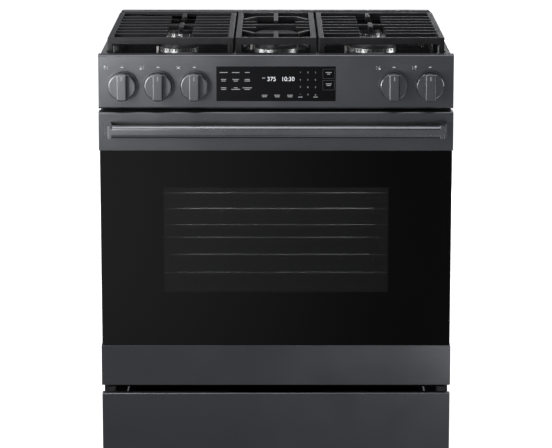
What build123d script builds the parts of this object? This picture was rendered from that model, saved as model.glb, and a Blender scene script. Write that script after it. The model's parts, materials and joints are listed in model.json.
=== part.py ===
"""Freestanding gas range: five sealed burners, a drop-down oven door and a storage drawer.

Millimetres. +Z is up, +X is to the right as seen from the front, and the front faces -Y.
The origin is the centre of the overall box, on the floor. Depths are measured back from the
face of the control panel, so a piece that stands in front of that face has a negative depth.
"""
from build123d import *
import os

# ---- overall sizes -------------------------------------------------------------------------
WIDTH = 760.0            # across the control panel, door and drawer
BODY_INSET = 3.0         # side panels and cooktop in from the ends of the control panel
BODY_DEPTH = 672.0       # control panel face to back cover
HEIGHT = 940.0           # floor to the tops of the grates
SHEET = 2.0              # sheet metal, with its enamel

# ---- heights down the front ----------------------------------------------------------------
GRATE_RISE = 28.0        # grate tops above the control panel's top edge
PANEL_HEIGHT = 116.0
PANEL_GAP = 6.0
DOOR_HEIGHT = 603.0
DOOR_GAP = 19.0
DRAWER_HEIGHT = 128.0

# ---- depths --------------------------------------------------------------------------------
DOOR_PROUD = 8.0         # door face in front of the control panel
DOOR_THICK = 42.0
HANDLE_PROJECTION = 57.0
DOOR_SEAL = 4.0          # between the door's back and the oven's front frame
PANEL_LIP = 25.0         # top flange of the control panel
PANEL_BOX = 30.0         # ends of the control panel
VENT_DEPTH = 32.0        # rear vent trim
DRAWER_LIP = 15.0        # flanges of the drawer front

# ---- oven ----------------------------------------------------------------------------------
CAVITY_WIDTH = 600.0
CAVITY_DEPTH = 450.0
CAVITY_BOTTOM = 75.0     # oven floor above the door's bottom edge
CAVITY_TOP = 70.0        # oven ceiling below the door's top edge
BURNER_ROOM = 37.0       # space for the bake burner under the oven floor
INSULATION = 30.0
RACK_WIRE = 3.2
RACK_ROD = 2.0
RACK_RODS = 23
RACK_SET = 0.8           # rods above the outline wire's centre line
RACK_CROSS = 2.8
RACK_CORNER = 14.0
RACK_PLAY = 6.0          # between a rack and each side of the oven
RACK_FRONT = 60.0
RACK_REAR = 46.0         # behind a rack
RACK_DROPS = (384.0, 490.0)      # below the control panel's top edge
LEDGE = 12.0

# ---- door ----------------------------------------------------------------------------------
TOP_BAND = 83.5
BOTTOM_BAND = 89.0
GLASS = 5.0
GLASS_INSET = 2.0
WINDOW_WIDTH = 485.0
WINDOW_HEIGHT = 231.0
WINDOW_DROP = 164.0      # below the door's top edge
STILE_WIDTH = 28.0
STILE_END = 25.0
GASKET = 12.0
HANDLE_END = 33.0        # bar's ends in from the door's edges
HANDLE_TALL = 26.0
HANDLE_DEEP = 22.0
HANDLE_DROP = 35.0       # bar centre below the door's top edge
BRACKET_TALL = 28.0
HINGE_RISE = 10.0        # hinge axis above the door's bottom edge
HINGE_DEPTH = 12.0
HINGE_PIN = 4.0
RUNNING = 0.05           # running clearance of a shaft in its hole
GAP = 0.3                # between pieces that move past each other

# ---- storage drawer ------------------------------------------------------------------------
BOX_WIDTH = 636.0
BOX_LENGTH = 545.0
BOX_FLOOR = 24.0         # above the drawer front's bottom edge
BOX_RIM = 18.0           # below the drawer front's top edge
PULL_WIDTH = 198.0       # cut-out in the top flange, for the fingers
RAIL = 12.0
RAIL_TALL = 8.0
RUNNER_PLAY = 0.5

# ---- controls ------------------------------------------------------------------------------
KNOB_FROM_END = (51.0, 128.0, 205.5)     # knob centres from the ends of the control panel
KNOB_DROP = 66.5
KNOB_RADIUS = 29.6
KNOB_SKIRT = 12.0
GRIP_WIDTH = 22.0
GRIP_TALL = 16.0
BEZEL_RIM = 3.4          # bezel beyond the knob
BEZEL_TALL = 7.0
KNOB_PUSH = 4.0
STEM_RADIUS = 4.0
DISPLAY_WIDTH = 255.0
DISPLAY_HEIGHT = 75.0
DISPLAY_DROP = 62.0
DISPLAY_PROUD = 1.0
MANIFOLD_DEPTH = 58.0
MANIFOLD_RADIUS = 9.0
MANIFOLD_END = 35.0      # pipe's ends in from the ends of the control panel
VALVE = 26.0
VALVE_FRONT = 20.0

# ---- cooktop -------------------------------------------------------------------------------
RIM = 12.0
WELL = 10.0              # cooking surface below the rim
SKIRT = 32.0
VENT_END = 9.0           # vent trim's ends in from the cooktop's
VENT_RISE = 19.0
# name: (x, depth behind the panel's face, radius of the burner head)
ROUND_BURNERS = {"left_front": (-211.0, 150.0, 42.0), "left_rear": (-211.0, 400.0, 35.0),
                 "right_front": (211.0, 155.0, 52.0), "right_rear": (211.0, 400.0, 30.0)}
OVAL_FRONT = 96.0        # the long centre burner
OVAL_REAR = 376.0
OVAL_RADIUS = 48.0
HEAD_TALL = 8.0
CAP_TALL = 10.0
CAP_INSET = 2.0
THROAT = 20.0
BORE = 12.0
TUBE_RADIUS = 4.0
TUBE_DROP = 47.0

# ---- grates --------------------------------------------------------------------------------
GRATE_FRONT = 70.0
GRATE_REAR = 535.0
GRATE_PLAY = 1.0         # between the grates and the cooktop's rim
GRATE_SPLIT = 89.5
GRATE_GAP = 5.0
FRAME_BAR = 12.0
FRAME_TALL = 15.0
RIB = 10.0
RIB_TALL = 12.0
RIB_DEPTHS = (150.0, 201.0, 252.0, 303.0, 354.0, 405.0, 456.0)
MIDDLE_RIB = 303.0
FINGER_X = 211.5
FINGER_GAP = 28.0        # free ends of the ribs from the finger's centre line
FOOT = 12.0

# ---- base ----------------------------------------------------------------------------------
BASE_CLEAR = 42.0        # base frame above the floor
BASE_TALL = 18.0
BASE_BAR = 25.0
LEG_STEM = 5.0
LEG_FOOT = 17.0
LEG_INSET = 18.0         # leg centres from the sides and the back

# ---- worked out from the sizes above -------------------------------------------------------
HALF = WIDTH / 2
BODY_HALF = HALF - BODY_INSET
FRONT = DOOR_PROUD + HANDLE_PROJECTION
FACE_Y = FRONT - (FRONT + BODY_DEPTH) / 2
TOP = HEIGHT - GRATE_RISE
PANEL_BOTTOM = TOP - PANEL_HEIGHT
DOOR_TOP = PANEL_BOTTOM - PANEL_GAP
DOOR_BOTTOM = DOOR_TOP - DOOR_HEIGHT
DRAWER_TOP = DOOR_BOTTOM - DOOR_GAP
DRAWER_BOTTOM = DRAWER_TOP - DRAWER_HEIGHT
DOOR_FACE = -DOOR_PROUD
DOOR_BACK = DOOR_FACE + DOOR_THICK
PAN_DEPTH = 4.0          # depth of the door's formed inner panel
PAN_FRONT = DOOR_BACK - PAN_DEPTH
FRAME_DEPTH = DOOR_BACK + DOOR_SEAL
FRAME_BACK = FRAME_DEPTH + SHEET
FRAME_BOTTOM = DRAWER_TOP + 4
FRAME_TOP = PANEL_BOTTOM + SHEET
CAVITY_HALF = CAVITY_WIDTH / 2
CAVITY_LOW = DOOR_BOTTOM + CAVITY_BOTTOM
CAVITY_HIGH = DOOR_TOP - CAVITY_TOP
CAVITY_BACK = FRAME_BACK + CAVITY_DEPTH
RACK_WIDTH = CAVITY_WIDTH - 2 * RACK_PLAY
RACK_LENGTH = CAVITY_BACK - RACK_REAR - RACK_FRONT
LINER_LOW = CAVITY_LOW - BURNER_ROOM
LINER_BACK = CAVITY_BACK + SHEET
BACK_INNER = BODY_DEPTH - SHEET
KNOB_Z = TOP - KNOB_DROP
KNOB_X = {"left_rear": KNOB_FROM_END[0] - HALF, "left_front": KNOB_FROM_END[1] - HALF,
          "center": KNOB_FROM_END[2] - HALF,
          "right_front": HALF - KNOB_FROM_END[1], "right_rear": HALF - KNOB_FROM_END[0]}
BEZEL_RADIUS = KNOB_RADIUS + BEZEL_RIM
HANDLE_LENGTH = WIDTH - 2 * HANDLE_END
MANIFOLD_LENGTH = WIDTH - 2 * MANIFOLD_END
VENT_WIDTH = 2 * (BODY_HALF - VENT_END)
GRATE_OUTER = BODY_HALF - RIM - GRATE_PLAY
HINGE_Z = DOOR_BOTTOM + HINGE_RISE
HINGE_EYE = HINGE_RISE - SHEET
SURFACE = TOP - WELL
COOKTOP_BACK = BODY_DEPTH - VENT_DEPTH
CASE_TOP = TOP - SKIRT - SHEET
HEAD_TOP = SURFACE + HEAD_TALL


# ---- shapes --------------------------------------------------------------------------------
def block(x0, x1, d0, d1, z0, z1):
    """A box between two widths, two depths and two heights."""
    return Pos((x0 + x1) / 2, FACE_Y + (d0 + d1) / 2, (z0 + z1) / 2) * Box(x1 - x0, d1 - d0, z1 - z0)


def wide(half, d0, d1, z0, z1):
    """A box that is centred across the range."""
    return block(-half, half, d0, d1, z0, z1)


def rod_x(x0, x1, depth, z, radius):
    return Pos((x0 + x1) / 2, FACE_Y + depth, z) * Rot(0, 90, 0) * Cylinder(radius, x1 - x0)


def rod_y(x, d0, d1, z, radius):
    return Pos(x, FACE_Y + (d0 + d1) / 2, z) * Rot(90, 0, 0) * Cylinder(radius, d1 - d0)


def rod_z(x, depth, z0, z1, radius):
    return Pos(x, FACE_Y + depth, (z0 + z1) / 2) * Cylinder(radius, z1 - z0)


def oval(front, rear, radius, z0, z1):
    """An upright block with round ends, for the centre burner."""
    first = front + radius
    last = rear - radius
    middle = block(-radius, radius, first, last, z0, z1)
    return middle + rod_z(0, first, z0, z1, radius) + rod_z(0, last, z0, z1, radius)


def mirrored(shape):
    return mirror(shape, about=Plane.YZ)


def both(shape):
    """The shape and its mirror image, as separate solids."""
    return [shape, mirrored(shape)]


def bar_between(x0, d0, x1, d1, width, z0, z1):
    """A straight bar between two points of the plan."""
    start = Vector(x0, FACE_Y + d0, 0)
    end = Vector(x1, FACE_Y + d1, 0)
    run = end - start
    middle = (start + end) * 0.5
    turn = Vector(1, 0, 0).get_signed_angle(run, Vector(0, 0, 1))
    return Pos(middle.X, middle.Y, (z0 + z1) / 2) * Rot(0, 0, turn) * Box(run.length, width, z1 - z0)


def round_edges(shape, axis, radius, group):
    """Rounds the edges along one axis that lie furthest out in the group's direction."""
    return fillet(shape.edges().filter_by(axis).group_by(group)[0], radius)


def save(node, *shapes):
    solids = [solid for shape in shapes for solid in shape.solids()]
    export_step(solids[0] if len(solids) == 1 else Compound(solids), f"parts/{node}.step")


# ---- chassis -------------------------------------------------------------------------------
LEG_POINTS = [(side * (BODY_HALF - LEG_INSET), depth)
              for side in (-1, 1) for depth in (FRAME_BACK + BASE_BAR / 2, BODY_DEPTH - LEG_INSET)]


def base_frame():
    half = BODY_HALF - SHEET
    top = BASE_CLEAR + BASE_TALL
    ring = wide(half, FRAME_BACK, BACK_INNER, BASE_CLEAR, top)
    ring -= wide(half - BASE_BAR, FRAME_BACK + BASE_BAR, BACK_INNER - BASE_BAR, BASE_CLEAR, top)
    for x, depth in LEG_POINTS:
        ring -= rod_z(x, depth, BASE_CLEAR, top, LEG_STEM)
    return ring


def leveling_legs():
    legs = []
    for x, depth in LEG_POINTS:
        leg = rod_z(x, depth, 0, 8, LEG_FOOT) + rod_z(x, depth, 8, BASE_CLEAR + BASE_TALL, LEG_STEM)
        legs.append(leg + rod_z(x, depth, BASE_CLEAR - 8, BASE_CLEAR, LEG_STEM + 4))
    return legs


def side_panels():
    inner = BODY_HALF - SHEET
    front = FRAME_DEPTH - SHEET
    skin = block(inner, BODY_HALF, front, BACK_INNER, BASE_CLEAR, CASE_TOP)
    skin += block(inner - 5, inner, front, FRAME_DEPTH, FRAME_BOTTOM, CASE_TOP)
    skin += block(inner - 20, inner, BACK_INNER - SHEET, BACK_INNER, BASE_CLEAR + BASE_TALL, CASE_TOP)
    return both(skin)


REGULATOR_X = BODY_HALF - 42
REGULATOR_Z = 135.0
REGULATOR_SIZE = 50.0
INLET_RADIUS = 9.9
INLET_LENGTH = 20.0
SOCKET_X = 62 - BODY_HALF
SOCKET_WIDTH = 40.0
SOCKET_TALL = 30.0


def back_cover():
    cover = wide(BODY_HALF - SHEET, BACK_INNER, BODY_DEPTH, BASE_CLEAR + BASE_TALL, CASE_TOP)
    reach = REGULATOR_SIZE / 2 + 2
    cover -= block(REGULATOR_X - reach, REGULATOR_X + reach, BACK_INNER, BODY_DEPTH,
                   REGULATOR_Z - reach, REGULATOR_Z + reach)
    cover -= block(SOCKET_X - SOCKET_WIDTH / 2, SOCKET_X + SOCKET_WIDTH / 2, BACK_INNER, BODY_DEPTH,
                   REGULATOR_Z - SOCKET_TALL / 2, REGULATOR_Z + SOCKET_TALL / 2)
    for x in (-240, -80, 80, 240):
        for row in range(8):
            low = CASE_TOP - 60 - 16 * row
            cover -= block(x - 50, x + 50, BACK_INNER, BODY_DEPTH, low, low + 5)
    return cover


def power_inlet():
    """The appliance's mains inlet, with its recess for a plug."""
    half = SOCKET_WIDTH / 2
    tall = SOCKET_TALL / 2
    socket = block(SOCKET_X - half, SOCKET_X + half, BACK_INNER - 28, BODY_DEPTH,
                   REGULATOR_Z - tall, REGULATOR_Z + tall)
    return socket - block(SOCKET_X - half + 6, SOCKET_X + half - 6, BODY_DEPTH - 18, BODY_DEPTH,
                          REGULATOR_Z - tall + 6, REGULATOR_Z + tall - 6)


RECEIVER_X = (HALF - 20, HALF - 12)
RECEIVER_TALL = 10.0
RECEIVER_BACK = 90.0


def oven_front_frame():
    plate = wide(BODY_HALF - SHEET, FRAME_DEPTH, FRAME_BACK, FRAME_BOTTOM, FRAME_TOP)
    plate -= wide(CAVITY_HALF, FRAME_DEPTH, FRAME_BACK, CAVITY_LOW, CAVITY_HIGH)
    slot = block(RECEIVER_X[0], RECEIVER_X[1], FRAME_DEPTH, FRAME_BACK,
                 HINGE_Z - RECEIVER_TALL / 2, HINGE_Z + RECEIVER_TALL / 2)
    return plate - slot - mirrored(slot)


def oven_liner():
    """Porcelain-enamelled box, open at the front, with pressed ledges for the racks."""
    outer = wide(CAVITY_HALF + SHEET, FRAME_BACK, LINER_BACK, LINER_LOW - SHEET, CAVITY_HIGH + SHEET)
    liner = outer - wide(CAVITY_HALF, FRAME_BACK, CAVITY_BACK, LINER_LOW, CAVITY_HIGH)
    for drop in RACK_DROPS:
        under = TOP - drop - RACK_WIRE - GAP
        ledge = block(CAVITY_HALF - LEDGE, CAVITY_HALF, FRAME_BACK + 10, CAVITY_BACK - 10, under - 4, under)
        liner += ledge + mirrored(ledge)
    return liner


def oven_insulation():
    inner_low = LINER_LOW - SHEET
    half = CAVITY_HALF + SHEET
    shell = wide(half + INSULATION, FRAME_BACK, LINER_BACK + INSULATION,
                 inner_low - INSULATION, CAVITY_HIGH + SHEET + INSULATION)
    shell -= wide(half, FRAME_BACK, LINER_BACK, inner_low, CAVITY_HIGH + SHEET)
    return shell - flue_outline(0)


FLUE_HALF = 50.0
FLUE_TALL = 50.0
FLUE_DEEP = 24.0


def flue_outline(wall):
    """The flue's outline, or its bore when a wall is given."""
    high = CAVITY_HIGH - 20
    back = BACK_INNER - SHEET
    level = wide(FLUE_HALF - wall, LINER_BACK, back - wall, high - FLUE_TALL + wall, high - wall)
    rise = wide(FLUE_HALF - wall, back - FLUE_DEEP + wall, back - wall, high - FLUE_TALL + wall, TOP - 6)
    return level + rise


def oven_flue():
    return flue_outline(0) - flue_outline(SHEET)


def oven_floor():
    """Lift-out floor plate with side flanges; its slots let the burner's heat up."""
    half = CAVITY_HALF - 1
    plate = wide(half, FRAME_BACK + 1, CAVITY_BACK - 1, CAVITY_LOW - SHEET, CAVITY_LOW)
    for side in (-1, 1):
        edge = side * (half - SHEET / 2)
        plate += block(edge - SHEET / 2, edge + SHEET / 2, FRAME_BACK + 1, CAVITY_BACK - 1,
                       LINER_LOW, CAVITY_LOW - SHEET)
        for row in range(8):
            front = FRAME_BACK + 50 + 45 * row
            plate -= block(side * 265 - 12, side * 265 + 12, front, front + 8, CAVITY_LOW - SHEET, CAVITY_LOW)
    return plate


def bake_burner():
    """Tube burner below the oven floor, on two brackets."""
    z = LINER_LOW + 18
    burner = rod_y(0, FRAME_BACK + 25, CAVITY_BACK - 2, z, 12)
    for depth in (FRAME_BACK + 60, CAVITY_BACK - 60):
        burner += block(-18, 18, depth, depth + 4, LINER_LOW, z)
    return burner


def broil_burner():
    """Infrared burner hung under the oven's ceiling."""
    body = wide(95, FRAME_BACK + 90, FRAME_BACK + 350, CAVITY_HIGH - 26, CAVITY_HIGH - 6)
    body -= wide(85, FRAME_BACK + 100, FRAME_BACK + 340, CAVITY_HIGH - 26, CAVITY_HIGH - 20)
    for depth in (FRAME_BACK + 110, FRAME_BACK + 320):
        body += wide(60, depth, depth + 6, CAVITY_HIGH - 6, CAVITY_HIGH)
    return body


def oven_lamp():
    x = -(CAVITY_HALF - 70)
    z = CAVITY_HIGH - 60
    dome = rod_y(x, CAVITY_BACK - 22, CAVITY_BACK - 4, z, 24) + rod_y(x, CAVITY_BACK - 4, CAVITY_BACK, z, 30)
    return round_edges(dome, GeomType.CIRCLE, 8, Axis.Y)


def temperature_probe():
    x = CAVITY_HALF - 110
    z = CAVITY_HIGH - 35
    return rod_y(x, CAVITY_BACK - 110, CAVITY_BACK, z, 2.5) + block(x - 18, x + 18, CAVITY_BACK - 1.5,
                                                                   CAVITY_BACK, z - 8, z + 8)


def hinge_receivers():
    """Arms that carry the door's hinge pins, bolted behind the front frame."""
    x0, x1 = RECEIVER_X
    low = HINGE_Z - RECEIVER_TALL / 2
    high = HINGE_Z + RECEIVER_TALL / 2
    arm = block(x0, x1, HINGE_DEPTH, RECEIVER_BACK, low, high)
    arm += rod_x(x0, x1, HINGE_DEPTH, HINGE_Z, RECEIVER_TALL / 2)
    arm += block(x0 - 4, x1, FRAME_BACK, RECEIVER_BACK, low - 12, high + 40)
    arm += block(x1, BODY_HALF - SHEET, FRAME_BACK, RECEIVER_BACK, high, high + 6)
    arm += rod_x(ARM_X[0], ARM_X[1], HINGE_DEPTH, HINGE_Z, HINGE_PIN)
    return both(arm)


def drawer_runners():
    """Channels on the side panels that carry the drawer's rails."""
    inner = BOX_WIDTH / 2 + 2
    web = BOX_WIDTH / 2 + RAIL + 2
    low = RAIL_Z - RUNNER_PLAY
    high = RAIL_Z + RAIL_TALL + RUNNER_PLAY
    front = FRAME_BACK + 6
    runner = block(inner, web + 4, front, 600, low - 4, high + 4)
    runner -= block(inner, web, front, 600, low, high)
    for depth in (front + 14, 560):
        runner += block(web + 4, BODY_HALF - SHEET, depth, depth + 40, low - 4, low)
    return both(runner)


# ---- control panel and gas system ----------------------------------------------------------
def control_panel():
    panel = wide(HALF, 0, PANEL_BOX, PANEL_BOTTOM, TOP)
    panel = round_edges(panel, Axis.X, 4, Axis.Y)
    panel -= wide(HALF - SHEET, SHEET, PANEL_BOX, PANEL_BOTTOM, TOP - SHEET)
    panel -= wide(HALF - SHEET, PANEL_LIP, PANEL_BOX, TOP - SHEET, TOP)
    panel += wide(HALF - 26, SHEET, FRAME_DEPTH, PANEL_BOTTOM, PANEL_BOTTOM + SHEET)
    for x in KNOB_X.values():
        panel -= rod_y(x, 0, SHEET, KNOB_Z, STEM_RADIUS + 2)
    middle = TOP - DISPLAY_DROP
    return panel - wide(DISPLAY_WIDTH / 2, 0, SHEET, middle - DISPLAY_HEIGHT / 2, middle + DISPLAY_HEIGHT / 2)


def display_glass():
    middle = TOP - DISPLAY_DROP
    pane = wide(DISPLAY_WIDTH / 2, -DISPLAY_PROUD, SHEET, middle - DISPLAY_HEIGHT / 2,
                middle + DISPLAY_HEIGHT / 2)
    return pane


def display_module():
    middle = TOP - DISPLAY_DROP
    reach = DISPLAY_HEIGHT / 2 + 6
    return wide(DISPLAY_WIDTH / 2 + 6, SHEET, SHEET + 20, middle - reach, middle + reach)


def knob_bezels():
    bezels = []
    for x in KNOB_X.values():
        ring = rod_y(x, -BEZEL_TALL, 0, KNOB_Z, BEZEL_RADIUS)
        ring -= rod_y(x, -BEZEL_TALL, -1.2, KNOB_Z, KNOB_RADIUS + 0.8)
        bezels.append(ring - rod_y(x, -1.2, 0, KNOB_Z, STEM_RADIUS + 2))
    return bezels


SKIRT_BACK = -(1.2 + KNOB_PUSH + GAP)
SKIRT_FRONT = SKIRT_BACK - KNOB_SKIRT
GRIP_FRONT = SKIRT_FRONT - GRIP_TALL
STEM_BACK = 38.0


def knob(x):
    """Round skirt with a bar to grip, bored for its stem."""
    skirt = rod_y(x, SKIRT_FRONT, SKIRT_BACK, KNOB_Z, KNOB_RADIUS)
    skirt = fillet(skirt.edges().group_by(Axis.Y)[0], 3)
    half = GRIP_WIDTH / 2
    grip = block(x - half, x + half, GRIP_FRONT, SKIRT_FRONT + 3.5, KNOB_Z - KNOB_RADIUS, KNOB_Z + KNOB_RADIUS)
    grip = grip & rod_y(x, GRIP_FRONT, SKIRT_FRONT + 3.5, KNOB_Z, KNOB_RADIUS - 0.4)
    grip = fillet(grip.edges().group_by(Axis.Y)[0], 3)
    return skirt + grip - rod_y(x, SKIRT_FRONT - 4, SKIRT_BACK, KNOB_Z, STEM_RADIUS + RUNNING)


def valve_stem(x):
    return rod_y(x, SKIRT_FRONT - 4 + GAP, STEM_BACK, KNOB_Z, STEM_RADIUS)


def gas_manifold():
    pipe = rod_x(-MANIFOLD_LENGTH / 2, MANIFOLD_LENGTH / 2, MANIFOLD_DEPTH, KNOB_Z, MANIFOLD_RADIUS)
    for side in (-1, 1):
        pipe += block(side * 290 - 6, side * 290 + 6, FRAME_BACK, MANIFOLD_DEPTH, PANEL_BOTTOM - 30, KNOB_Z)
    return pipe


def gas_valves():
    valves = []
    pipe = rod_x(-HALF, HALF, MANIFOLD_DEPTH, KNOB_Z, MANIFOLD_RADIUS)
    for x in KNOB_X.values():
        half = VALVE / 2
        body = block(x - half, x + half, VALVE_FRONT, MANIFOLD_DEPTH, KNOB_Z - half, KNOB_Z + half)
        body -= pipe
        valves.append(body - rod_y(x, VALVE_FRONT, STEM_BACK + KNOB_PUSH + 2, KNOB_Z, STEM_RADIUS + RUNNING))
    return valves


def gas_supply_pipe():
    x = MANIFOLD_LENGTH / 2 - MANIFOLD_RADIUS + 6
    z_low = REGULATOR_Z + REGULATOR_SIZE / 2
    depth = BACK_INNER - 70
    pipe = rod_y(x, MANIFOLD_DEPTH, depth, KNOB_Z, 8)
    pipe += Pos(x, FACE_Y + depth, KNOB_Z) * Sphere(8)
    pipe += rod_z(x, depth, z_low, KNOB_Z, 8)
    return pipe - gas_manifold()


def pressure_regulator():
    half = REGULATOR_SIZE / 2
    body = block(REGULATOR_X - half, REGULATOR_X + half, BACK_INNER - 90, BACK_INNER - 22,
                 REGULATOR_Z - half, REGULATOR_Z + half)
    body += rod_y(REGULATOR_X, BACK_INNER - 22, BACK_INNER, REGULATOR_Z, 16)
    return body - rod_y(REGULATOR_X, BACK_INNER - INLET_LENGTH, BACK_INNER, REGULATOR_Z, INLET_RADIUS)


def burner_centres():
    """Every burner's name, with its width and depth."""
    centres = {name: spot[:2] for name, spot in ROUND_BURNERS.items()}
    centres["center"] = (0.0, (OVAL_FRONT + OVAL_REAR) / 2)
    return centres


def burner_supply_tubes():
    """One tube from each valve back and across to its burner."""
    z = TOP - TUBE_DROP
    start = VALVE_FRONT + 18
    tubes = []
    for name, (x, depth) in burner_centres().items():
        knob_x = KNOB_X[name]
        tube = rod_z(knob_x, start, KNOB_Z + VALVE / 2, z, TUBE_RADIUS)
        tube += Pos(knob_x, FACE_Y + start, z) * Sphere(TUBE_RADIUS)
        tube += rod_y(knob_x, start, depth, z, TUBE_RADIUS)
        tube += Pos(knob_x, FACE_Y + depth, z) * Sphere(TUBE_RADIUS)
        tube += rod_x(min(knob_x, x), max(knob_x, x), depth, z, TUBE_RADIUS)
        tube += Pos(x, FACE_Y + depth, z) * Sphere(TUBE_RADIUS)
        tubes.append(tube + rod_z(x, depth, z, TOP - 36, TUBE_RADIUS))
    return tubes


def spark_module():
    return block(-160, -90, BACK_INNER - 35, BACK_INNER, CASE_TOP - 260, CASE_TOP - 210)


# ---- cooktop -------------------------------------------------------------------------------
def cooktop():
    pan = wide(BODY_HALF, PANEL_LIP + 0.5, COOKTOP_BACK, TOP - SKIRT, TOP)
    pan = fillet(pan.edges().filter_by(Axis.Z), 10)
    pan = fillet(pan.edges().group_by(Axis.Z)[-1], 3)
    well = wide(BODY_HALF - RIM, PANEL_LIP + RIM, COOKTOP_BACK - RIM, SURFACE, TOP)
    pan -= fillet(well.edges().filter_by(Axis.Z), 12)
    under = SURFACE - SHEET
    pan -= wide(BODY_HALF - SHEET, PANEL_LIP + 0.5 + SHEET, COOKTOP_BACK - SHEET, TOP - SKIRT, under)
    for x, depth in burner_centres().values():
        pan -= rod_z(x, depth, under, SURFACE, THROAT + GAP)
    for x, depth in electrode_points():
        pan -= rod_z(x, depth, under, SURFACE, 3 + GAP)
    return pan


def burner_heads():
    heads = []
    for x, depth, radius in ROUND_BURNERS.values():
        heads.append(rod_z(x, depth, SURFACE, HEAD_TOP, radius))
    heads.append(oval(OVAL_FRONT, OVAL_REAR, OVAL_RADIUS, SURFACE, HEAD_TOP))
    bored = []
    for head, (x, depth) in zip(heads, burner_centres().values()):
        head += rod_z(x, depth, TOP - 36, SURFACE, THROAT)
        bored.append(head - rod_z(x, depth, TOP - 36, HEAD_TOP, BORE))
    return bored


def burner_caps():
    top = HEAD_TOP + CAP_TALL
    caps = [rod_z(x, depth, HEAD_TOP, top, radius - CAP_INSET) for x, depth, radius in ROUND_BURNERS.values()]
    caps.append(oval(OVAL_FRONT + CAP_INSET, OVAL_REAR - CAP_INSET, OVAL_RADIUS - CAP_INSET, HEAD_TOP, top))
    seated = []
    for cap, (x, depth) in zip(caps, burner_centres().values()):
        cap = fillet(cap.edges().group_by(Axis.Z)[-1], 3)
        seated.append(cap + rod_z(x, depth, HEAD_TOP - 5, HEAD_TOP, BORE - GAP))
    return seated


def electrode_points():
    """A spark electrode stands just outside each burner head."""
    points = [(x - radius - 6, depth) for x, depth, radius in ROUND_BURNERS.values()]
    return points + [(-OVAL_RADIUS - 6, (OVAL_FRONT + OVAL_REAR) / 2)]


def spark_electrodes():
    return [rod_z(x, depth, SURFACE - 20, SURFACE + 9, 3) for x, depth in electrode_points()]


def rear_vent_trim():
    high = TOP + VENT_RISE
    low = TOP - SKIRT
    half = VENT_WIDTH / 2
    trim = wide(half, COOKTOP_BACK, BODY_DEPTH, low, high)
    trim = fillet(trim.edges().filter_by(Axis.Z), 8)
    trim = fillet(trim.edges().group_by(Axis.Z)[-1], 4)
    trim -= wide(half - SHEET, COOKTOP_BACK + SHEET, BODY_DEPTH - SHEET, low, high - SHEET)
    for slot in range(-9, 10):
        trim -= block(slot * 34 - 12, slot * 34 + 12, COOKTOP_BACK + 12, COOKTOP_BACK + 18, high - SHEET, high)
    return trim


# ---- oven door -----------------------------------------------------------------------------
ARM_X = (HALF - STILE_WIDTH, HALF - 2 * SHEET)


def trim_band(low, high):
    """A folded band across the door, open at its back."""
    band = wide(HALF, DOOR_FACE, PAN_FRONT, low, high)
    return band


def door_top_trim():
    low = DOOR_TOP - TOP_BAND
    band = fillet(trim_band(low, DOOR_TOP).edges().filter_by(Axis.X).group_by(Axis.Y)[0].group_by(Axis.Z)[-1], 4)
    return band - wide(HALF - SHEET, DOOR_FACE + SHEET, PAN_FRONT, low, DOOR_TOP - SHEET)


def door_bottom_trim():
    high = DOOR_BOTTOM + BOTTOM_BAND
    band = fillet(trim_band(DOOR_BOTTOM, high).edges().filter_by(Axis.X).group_by(Axis.Y)[0].group_by(Axis.Z)[0], 2)
    band -= wide(HALF - SHEET, DOOR_FACE + SHEET, PAN_FRONT, DOOR_BOTTOM + SHEET, high)
    slot = block(RECEIVER_X[0] - 2, RECEIVER_X[1] + 2, HINGE_DEPTH - 6, PAN_FRONT,
                 DOOR_BOTTOM, DOOR_BOTTOM + SHEET)
    return band - slot - mirrored(slot)


def door_glass():
    return wide(HALF - GLASS_INSET, DOOR_FACE, DOOR_FACE + GLASS,
                DOOR_BOTTOM + BOTTOM_BAND + GAP, DOOR_TOP - TOP_BAND - GAP)


def door_side_stiles():
    outer = HALF - SHEET
    inner = outer - STILE_WIDTH
    low = DOOR_BOTTOM + STILE_END
    high = DOOR_TOP - SHEET
    stile = block(inner, outer, DOOR_FACE + GLASS, PAN_FRONT, low, high)
    stile -= block(inner + SHEET, outer - SHEET, DOOR_FACE + GLASS + SHEET, PAN_FRONT - SHEET, low, high - SHEET)
    return both(stile)


WINDOW_TOP = DOOR_TOP - WINDOW_DROP
WINDOW_BOTTOM = WINDOW_TOP - WINDOW_HEIGHT
PANE_LAP = 20.0


def door_inner_panel():
    low = DOOR_BOTTOM + 18
    high = DOOR_TOP - 8
    pan = wide(HALF - 8, PAN_FRONT, DOOR_BACK, low, high)
    pan = fillet(pan.edges().filter_by(Axis.Y), 10)
    pan -= wide(HALF - 8 - SHEET, PAN_FRONT, DOOR_BACK - SHEET, low + SHEET, high - SHEET)
    return pan - wide(WINDOW_WIDTH / 2, DOOR_BACK - SHEET, DOOR_BACK, WINDOW_BOTTOM, WINDOW_TOP)


def door_inner_glass():
    return wide(WINDOW_WIDTH / 2 + PANE_LAP, DOOR_BACK - SHEET - 4, DOOR_BACK - SHEET,
                WINDOW_BOTTOM - PANE_LAP, WINDOW_TOP + PANE_LAP)


def door_insulation():
    half = HALF - SHEET - STILE_WIDTH - 2
    pad = wide(half, DOOR_FACE + GLASS + 2, PAN_FRONT, DOOR_BOTTOM + 28, DOOR_TOP - 20)
    return pad - wide(WINDOW_WIDTH / 2 + PANE_LAP + 1, DOOR_FACE + GLASS + 2, PAN_FRONT,
                      WINDOW_BOTTOM - PANE_LAP - 1, WINDOW_TOP + PANE_LAP + 1)


def door_gasket():
    half = CAVITY_HALF + 4
    low = CAVITY_LOW - 4
    high = CAVITY_HIGH + 4
    rope = wide(half + GASKET, DOOR_BACK, FRAME_DEPTH - GAP, low - GASKET, high + GASKET)
    rope = fillet(rope.edges().filter_by(Axis.Y), 20)
    hole = wide(half, DOOR_BACK, FRAME_DEPTH - GAP, low, high)
    return rope - fillet(hole.edges().filter_by(Axis.Y), 10)


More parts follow.
